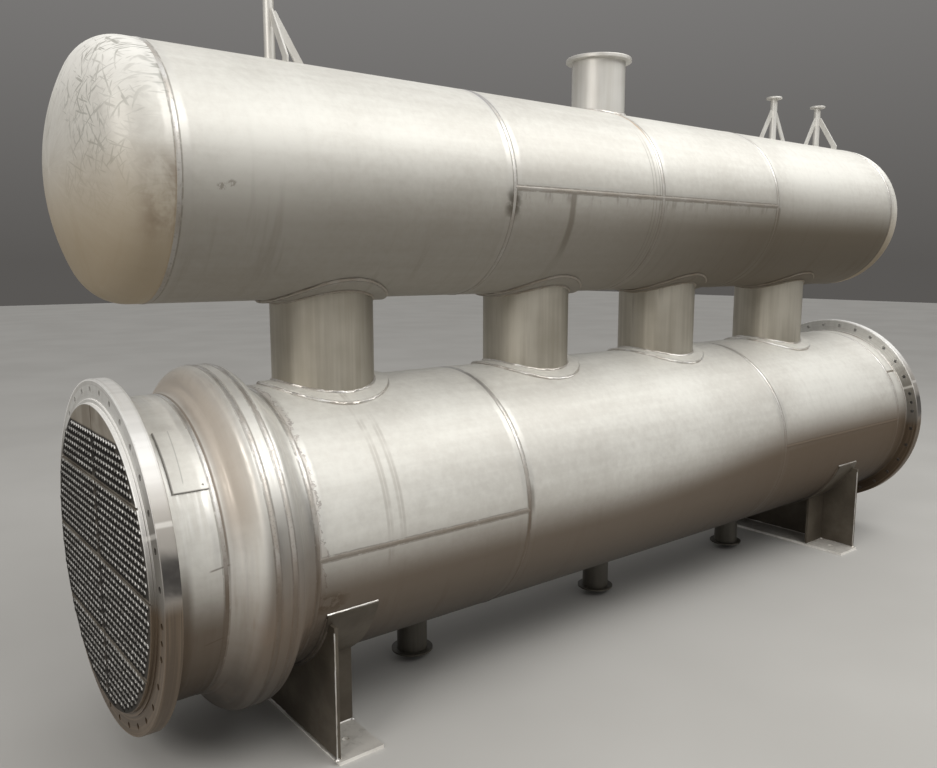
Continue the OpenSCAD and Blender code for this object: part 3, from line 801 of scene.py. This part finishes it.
# %% Make the steel of the saddles
def saddle_plate_steel():
    paint = Paint("saddle_steel")
    clouds = paint.noise(5.0, 4.0, 0.6).step(0.35, 0.65)
    scuffs = paint.noise(24.0, 4.0, 0.65, warp=0.5)
    base_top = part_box("front_saddle_base")[1].z
    # Painted shade and light: the upright plates are painted dark, as shade under the shell, and the
    # lying base plate pale, as light from above.
    upright = paint.blend(clouds, (0.085, 0.070, 0.052), (0.135, 0.115, 0.088))
    lying = paint.blend(clouds, (0.84, 0.81, 0.76), (0.97, 0.95, 0.90))
    standing = (paint.z - base_top).step(-0.5 * MM, 0.5 * MM)
    paint.colour = paint.blend(standing, lying, upright)
    dirt = scuffs.step(0.50, 0.70) * (0.12 + standing * 0.3)
    paint.coat(dirt, (0.10, 0.08, 0.06))
    normal = paint.bump(scuffs * 0.6 + paint.noise(240.0, 2.0, 0.5) * 0.3, 0.3 * MM)
    return paint.finish(0.55 + dirt * 0.2, 0.10 + standing * 0.2 - dirt * 0.1, normal)


# %% Make these steels
tube_steel = drawn_tube_steel()
soot_steel = sooty_steel()
shell_bead_steel = weld_steel("shell_bead", 0.35, shell_bead_film)
shell_line_steel = weld_steel("shell_line_bead", 0.55, shell_film, 0.75)
drum_bead_steel = weld_steel("drum_bead", 0.35, drum_film)
drum_line_steel = weld_steel("drum_line_bead", 0.35, drum_film, 0.45)
fillet_steel = weld_steel("weld_fillet", 0.25)
under_drum_steel = weld_steel("drum_fillet", 0.35, head_film)
saddle_steel = saddle_plate_steel()

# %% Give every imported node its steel
steel_of = {  # a node takes the first of these whose word is in its name
    "tubesheet": sheet_steel,
    "tubes": tube_steel,
    "stub": stub_steel,
    "head": head_steel,
    "riser": riser_steel,
    "drain": drain_steel,
    "nozzle": nozzle_steel,
    "drum": drum_steel,
    "shell": shell_steel,
    "bellows": bellows_steel,
    "bracket": bracket_steel,
    "saddle": saddle_steel,
    "wear_pad": saddle_steel,
}
for name, node in nodes.items():
    node.data.materials.clear()
    node.data.materials.append(next(steel for word, steel in steel_of.items() if word in name))

# %% [markdown]
# ## Weld beads round the vessels
#
# A seam between two courses is a low, slightly uneven ridge. A torus has the right path, and only its
# section is wrong, so it is added at the seam, squeezed flat across the skin and widened along it. A
# little random movement of its points then makes the bead look laid by hand.


# %% Helpers that pick and file pieces
def pick(*pieces):
    """Selects these pieces and nothing else, and makes the first one active."""
    bpy.ops.object.select_all(action="DESELECT")
    for piece in pieces:
        piece.select_set(True)
    if pieces:
        bpy.context.view_layer.objects.active = pieces[0]


def apply_place():
    """Puts the place, turn and scale of the selected piece in its mesh."""
    bpy.ops.object.transform_apply(location=True, rotation=True, scale=True)


def file_piece(beads, name, steel):
    """Joins beads to one piece, smooths and names it, and lets it ride on the frame."""
    pick(*beads)
    bpy.ops.object.join()
    piece = bpy.context.object
    apply_place()
    bpy.ops.object.shade_smooth_by_angle(angle=math.radians(60))
    piece.name = name
    if not piece.data.materials:
        piece.data.materials.append(steel)
    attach(piece, "root")
    print(name, len(piece.data.polygons), "faces")


# %% Helpers that shape a bead
def open_with(piece, kind, parts, chosen):
    """Opens a piece for editing with just those of its edges or vertices selected that a rule picks."""
    bpy.ops.object.mode_set(mode="EDIT")
    bpy.ops.mesh.select_mode(type=kind)
    bpy.ops.mesh.select_all(action="DESELECT")
    bpy.ops.object.mode_set(mode="OBJECT")
    for part in getattr(piece.data, parts):
        part.select = chosen(part)
    bpy.ops.object.mode_set(mode="EDIT")


def roughen(piece, amount, seed):
    """Moves the points of a bead a little, at random, so that it looks laid by hand."""
    pick(piece)
    bpy.ops.object.mode_set(mode="EDIT")
    bpy.ops.mesh.select_all(action="SELECT")
    bpy.ops.transform.vertex_random(offset=amount, normal=0.6, seed=seed)
    bpy.ops.object.mode_set(mode="OBJECT")


def ring_bead(x, radius, axis_z, width, height, seed):
    """A low bead round a vessel: a torus across X, squeezed from a round to a flat section."""
    pick()
    bpy.ops.mesh.primitive_torus_add(
        major_segments=200, minor_segments=8, major_radius=radius, minor_radius=height,
        location=(x, 0, axis_z), rotation=(0, math.pi / 2, 0))
    bead = bpy.context.object
    bead.scale = (1, 1, width / (2 * height))
    apply_place()
    roughen(bead, height * 0.35, seed)
    return bead


# %% Lay the round seams of the shell and the drum
bead_width = 12 * MM
bead_height = 1.4 * MM
flange_bead = (14 * MM, 3 * MM)
rings = []
for number, (seam, x) in enumerate(shell_seams.items()):
    radius = crest_radius if seam.startswith("crest") else shell.radius
    rings.append(ring_bead(x, radius, shell.axis_z, bead_width, bead_height, number + 1))
for number, x in enumerate((start_of("front_shell_stub"), end_of("shell_end_ring"))):
    rings.append(ring_bead(x, shell.radius, shell.axis_z, *flange_bead, number + 11))
file_piece(rings, "shell_round_seams", shell_bead_steel)

rings = []
for number, x in enumerate(drum_seams.values()):
    rings.append(ring_bead(x, drum.radius, drum.axis_z, bead_width, bead_height, number + 21))
file_piece(rings, "drum_round_seams", drum_bead_steel)

# %% [markdown]
# ## Straight seams
#
# Each course is a plate that was rolled until its two edges met, and the seam that closes it runs along
# the vessel. On the near side three of them show. A thin cylinder along X, cut into short lengths so
# that its points can wander, makes the same kind of bead as the torus does.


# %% Make a straight bead
def line_bead(start, end, width, height, seed, out):
    """A straight bead from start to end: a thin cylinder, cut into short lengths and flattened."""
    pick()
    run = end - start
    bpy.ops.mesh.primitive_cylinder_add(vertices=8, radius=height, depth=run.length)
    bead = bpy.context.object

    def runs_along(edge):
        first, second = (bead.data.vertices[index].co for index in edge.vertices)
        return abs(first.z - second.z) > run.length / 2

    open_with(bead, "EDGE", "edges", runs_along)
    bpy.ops.mesh.subdivide(number_cuts=max(2, int(run.length / (16 * MM))))
    bpy.ops.mesh.select_mode(type="VERT")
    bpy.ops.object.mode_set(mode="OBJECT")
    side = run.normalized()
    across = out.cross(side).normalized()
    bead.scale = (width / (2 * height), 1, 1)
    bead.rotation_euler = Matrix((across, side.cross(across), side)).transposed().to_euler()
    bead.location = (start + end) / 2
    apply_place()
    roughen(bead, height * 0.3, seed)
    return bead


def skin_beads(vessel, ends, angles, seed):
    """Straight beads on a vessel's skin from each end to the next, each at its own angle."""
    beads = []
    for number, (start, end, angle) in enumerate(zip(ends, ends[1:], angles)):
        first, last = vessel.point(start, angle), vessel.point(end, angle)
        outward = Vector((0, first.y, first.z - vessel.axis_z))
        beads.append(line_bead(first, last, bead_width, bead_height, seed + number, outward))
    return beads


# %% Lay the straight seams of the shell and the drum
shell_ends = all_shell[3:] + [end_of("shell_end_ring")]
straight = skin_beads(shell, shell_ends, (near_seam, -150.0, near_seam, 34.7), 41)
file_piece(straight, "shell_straight_seams", shell_line_steel)
drum_ends = [drum_seams[name] for name in ("front", "course_1", "course_3", "rear")]
straight = skin_beads(drum, drum_ends, (155.0, 0.0, 150.0), 45)
file_piece(straight, "drum_straight_seams", drum_line_steel)

# %% [markdown]
# ## Fillets where pipes meet the vessels
#
# Where an upright pipe meets a cylinder, the joint is a saddle shaped loop. A circle seen from above is
# the whole recipe: each of its points drops onto the skin below it, which is one square root. Turned
# into a curve, the loop gets a round section, and that is the fillet. Each riser has four: round the
# pipe and round the edge of the pad, on the shell and again on the drum.


# %% Make a fillet round a pipe
def thicken(thickness, seed, caps=False):
    """Gives the active loop or arc a round section by way of a curve, and roughens it."""
    bpy.ops.object.convert(target="CURVE")
    curve = bpy.context.object.data
    curve.bevel_depth = thickness
    curve.bevel_resolution = 1
    curve.use_fill_caps = caps
    bpy.ops.object.convert(target="MESH")
    bead = bpy.context.object
    roughen(bead, thickness * 0.16, seed)
    return bead


def pipe_fillet(x, radius, vessel, over, up, thickness, seed):
    """A fillet where an upright pipe meets a skin that lies over the vessel, above it or below it."""
    pick()
    sides = 120 if radius > 100 * MM else 40
    bpy.ops.mesh.primitive_circle_add(vertices=sides, radius=radius, location=(x, 0, 0))
    apply_place()
    for vertex in bpy.context.object.data.vertices:
        drop = math.sqrt((vessel.radius + over) ** 2 - vertex.co.y ** 2)
        vertex.co.z = vessel.axis_z + up * drop
    return thicken(thickness, seed)


def pipe_of(node):
    """Place along X and outer radius of an upright pipe."""
    low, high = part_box(node)
    return (low.x + high.x) / 2, (high.y - low.y) / 2


# %% Weld the risers and their pads
pad_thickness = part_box("shell_pad_1")[1].z - shell.axis_z - shell.radius
pipe_weld = 6 * MM
pad_weld = 5 * MM
riser_ends = (("shell", shell, 1, fillet_steel), ("drum", drum, -1, under_drum_steel))
for number in (1, 2, 3, 4):
    x, radius = pipe_of(f"riser_{number}")
    pad_radius = (end_of(f"shell_pad_{number}") - start_of(f"shell_pad_{number}")) / 2
    for part, vessel, up, steel in riser_ends:
        seed = number * 10 + up
        welds = [
            pipe_fillet(x, radius, vessel, pad_thickness, up, pipe_weld, seed),
            pipe_fillet(x, pad_radius, vessel, pad_thickness * 0.3, up, pad_weld, seed + 5),
        ]
        file_piece(welds, f"riser_{number}_{part}_welds", steel)

# %% Weld the nozzles
nozzle_kinds = {  # radius of the pipe, its vessel, above or below it, and size and seed of the weld
    "top_nozzle": (109.55 * MM, drum, 1, 7 * MM, 72),
    "vent_nozzle": (16.7 * MM, drum, 1, 3.5 * MM, 72),
    "drain_nozzle": (57.15 * MM, shell, -1, pipe_weld, 71),
}
welds = []
for name in nodes:
    kind = name.rstrip("_1234")
    if kind in nozzle_kinds:
        radius, vessel, up, thickness, seed = nozzle_kinds[kind]
        welds.append(pipe_fillet(pipe_of(name)[0], radius, vessel, 0.0, up, thickness, seed))
file_piece(welds, "nozzle_welds", fillet_steel)

# %% [markdown]
# ## Welds of the saddles
#
# A saddle is cut from flat plate and welded along every edge: the wear pad to the shell, the web and
# the ribs to the pad and to the base plate. The straight runs are beads like those above. Along the
# curve of the pad the bead follows an arc, so a full circle is drawn, the part over the pad's span is
# kept, and the rest is deleted before it gets its thickness. Where two beads end together the welder
# lingers and the metal piles up, so a small, flattened lump sits on each of those corners.


# %% Make a bead along an arc of the shell
def arc_bead(x, radius, span, thickness, seed):
    """A bead along the lower arc of a circle about the shell's axis, over the span in degrees."""
    pick()
    bpy.ops.mesh.primitive_circle_add(
        vertices=180, radius=radius, location=(x, 0, shell.axis_z), rotation=(0, math.pi / 2, 0))
    arc = bpy.context.object
    apply_place()
    highest = shell.axis_z - radius * math.cos(math.radians(span / 2))
    open_with(arc, "VERT", "vertices", lambda vertex: vertex.co.z > highest)
    bpy.ops.mesh.delete(type="VERT")
    bpy.ops.object.mode_set(mode="OBJECT")
    return thicken(thickness, seed, caps=True)


def weld_blob(place, radius, seed):
    """A flattened, uneven lump of weld metal."""
    pick()
    bpy.ops.mesh.primitive_uv_sphere_add(segments=12, ring_count=8, radius=radius, location=place)
    blob = bpy.context.object
    blob.scale = (1, 1, 0.6)
    apply_place()
    roughen(blob, radius * 0.15, seed)
    return blob


# %% Weld both saddles
wrap_angle = 135.0
edge_angle = -(180 - wrap_angle) / 2
fillet = 4 * MM
upward = Vector((0, 0, 1))
for end, seed in (("front", 81), ("rear", 91)):
    pad_low, pad_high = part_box(f"{end}_wear_pad")
    web_low, web_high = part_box(f"{end}_saddle_web")
    rib_low, rib_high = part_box(f"{end}_saddle_ribs")
    pad_radius = shell.axis_z - pad_low.z
    arcs = [
        arc_bead(pad_low.x, shell.radius + fillet / 2, wrap_angle, fillet, seed),
        arc_bead(pad_high.x, shell.radius + fillet / 2, wrap_angle, fillet, seed + 1),
    ]
    welds = []
    web_span = 2 * math.degrees(math.acos((shell.axis_z - web_high.z) / pad_radius))
    for face in (web_low.x, web_high.x):
        arcs.append(arc_bead(face, pad_radius, web_span - 3, fillet, seed + 2))
        foot = [Vector((face, side * web_high.y, web_low.z)) for side in (-1, 1)]
        welds.append(line_bead(*foot, 2 * fillet, fillet, seed + 3, upward))
    for side in (-1, 1):
        edge = shell.point(0, edge_angle)
        first, last = (Vector((x, side * edge.y, edge.z)) for x in (pad_low.x, pad_high.x))
        sideways = Vector((0, side * edge.y, 0))
        welds.append(line_bead(first, last, 2 * fillet, fillet, seed + 4, sideways))
        for face in (rib_high.y, rib_high.y - (web_high.x - web_low.x)):
            first, last = (Vector((x, side * face, rib_low.z)) for x in (rib_low.x, rib_high.x))
            welds.append(line_bead(first, last, 2 * fillet, fillet, seed + 5, upward))
        foot = Vector((web_low.x, side * web_high.y, web_low.z))
        top = Vector((web_low.x, side * web_high.y, web_high.z - 4 * fillet))
        welds.append(line_bead(foot, top, fillet, fillet / 2, seed + 6, Vector((-1, side, 0))))
        for place in (foot, Vector((rib_high.x, side * rib_high.y, rib_low.z))):
            welds.append(weld_blob(place, 2.2 * fillet, seed + 7))
    file_piece(arcs, f"{end}_saddle_arc_welds", shell_bead_steel)
    file_piece(welds, f"{end}_saddle_welds", fillet_steel)

# %% [markdown]
# ## Nine hundred tube ends
#
# Each tube is sealed to the tubesheet by a thin ring of weld. The light comes from above, so every ring
# is painted glittering on its upper side, a painted highlight, and lost in painted shade and soot
# below, and that makes the rows. The rings follow the layout of the holes: rows at one pitch, every
# second row set over by half of it, in four zones with a lane between them and a lane down the middle.
# One ring is modelled with a painted bright steel and a painted shade and soot steel on its faces, and
# an array carries it along each row.


# %% Lay a ring round every tube end
def tube_rows():
    """Height, first distance from the middle and count of tubes on one side, for each row."""
    for top, rows in zip(zone_top, zone_rows):
        for row in range(rows):
            height = top - row * row_pitch
            first = (lane + (row % 2) * tube_pitch) / 2
            half = math.sqrt(field_limit ** 2 - height ** 2)
            if half > first:
                yield height, first, int((half - first) / tube_pitch) + 1


# Faces this far over a ring's middle get the painted highlight.
bright_over = 2 * MM


def tube_rings(x):
    pieces = []
    for height, first, count in tube_rows():
        for side in (-1, 1):
            pick()
            bpy.ops.mesh.primitive_torus_add(
                major_segments=12, minor_segments=4, major_radius=tube_radius + 0.6 * MM,
                minor_radius=1.7 * MM, rotation=(0, math.pi / 2, 0),
                location=(x, side * first, shell.axis_z + height))
            ring = bpy.context.object
            apply_place()
            ring.data.materials.append(tube_steel)
            ring.data.materials.append(soot_steel)
            # Painted highlight on the upper faces, painted shade with soot on the rest.
            for face in ring.data.polygons:
                face.material_index = 0 if face.center.z > shell.axis_z + height + bright_over else 1
            array = ring.modifiers.new("row", "ARRAY")
            array.count = count
            array.use_relative_offset = False
            array.use_constant_offset = True
            array.constant_offset_displace = (0, side * tube_pitch, 0)
            bpy.ops.object.modifier_apply(modifier=array.name)
            pieces.append(ring)
    return pieces


face_inset = 3 * MM
ring_places = {
    "front": start_of("upper_tubes") + face_inset,
    "rear": end_of("upper_tubes") - face_inset,
}
for side, x in ring_places.items():
    file_piece(tube_rings(x), f"{side}_tube_welds", tube_steel)

# %% [markdown]
# ## Floor and light
#
# The works had daylight and lamps high overhead and a dim hall all round, which is why the vessels are
# nearly white on top and fall off into a dark band underneath. A plain studio can do much of the same
# with one wide soft light overhead, a weaker one from the near left, and a sky that is dim near the
# horizon. The dark band underneath is also painted into the steels, as painted shade.

# %% Floor
floor_size = 60.0
bpy.ops.mesh.primitive_plane_add(size=floor_size, location=(0, 0, 0))
floor = bpy.context.object
floor.name = "floor"
floor_paint = Paint("pale_floor")
floor_tone = floor_paint.noise(0.8, 3.0, 0.5).step(0.3, 0.7)
floor_paint.colour = floor_paint.blend(floor_tone, (0.46, 0.45, 0.43), (0.50, 0.49, 0.47))
floor.data.materials.append(floor_paint.finish(0.75, 0.0))


# %% Lights
def soft_light(name, place, target, size, power, warmth):
    pick()
    bpy.ops.object.light_add(type="AREA", location=place)
    light = bpy.context.object
    light.name = name
    light.data.shape = "RECTANGLE"
    light.data.size, light.data.size_y = size
    light.data.energy = power
    light.data.color = warmth
    look = Vector(target) - Vector(place)
    light.rotation_euler = look.to_track_quat("-Z", "Y").to_euler()


soft_light("overhead", (1.9, -3.0, 5.5), (0.5, 0, 1.0), (8.0, 3.2), 235, (1.0, 0.995, 0.97))
soft_light("near_left", (-6.5, -2.0, 4.0), (-2.0, 0, 1.0), (2.4, 2.0), 130, (1.0, 0.97, 0.93))

# %% Sky: dim at the horizon, bright overhead
sky_stops = [
    (0.0, (0.10, 0.095, 0.09)),
    (0.3, (0.20, 0.195, 0.19)),
    (0.55, (0.52, 0.515, 0.505)),
    (1.0, (0.80, 0.795, 0.78)),
]
world = bpy.data.worlds.new("hall")
bpy.context.scene.world = world
world.use_nodes = True
sky = Board(world.node_tree)
direction = sky.node("ShaderNodeTexCoord", output="Generated")
rise = sky.node("ShaderNodeSeparateXYZ", inputs=[direction], output="Z")
ramp = sky.node("ShaderNodeValToRGB", {"stops": sky_stops}, [rise])
sky.feed(world.node_tree.nodes["Background"].inputs["Color"], ramp)
bpy.context.scene.view_settings.view_transform = "Standard"
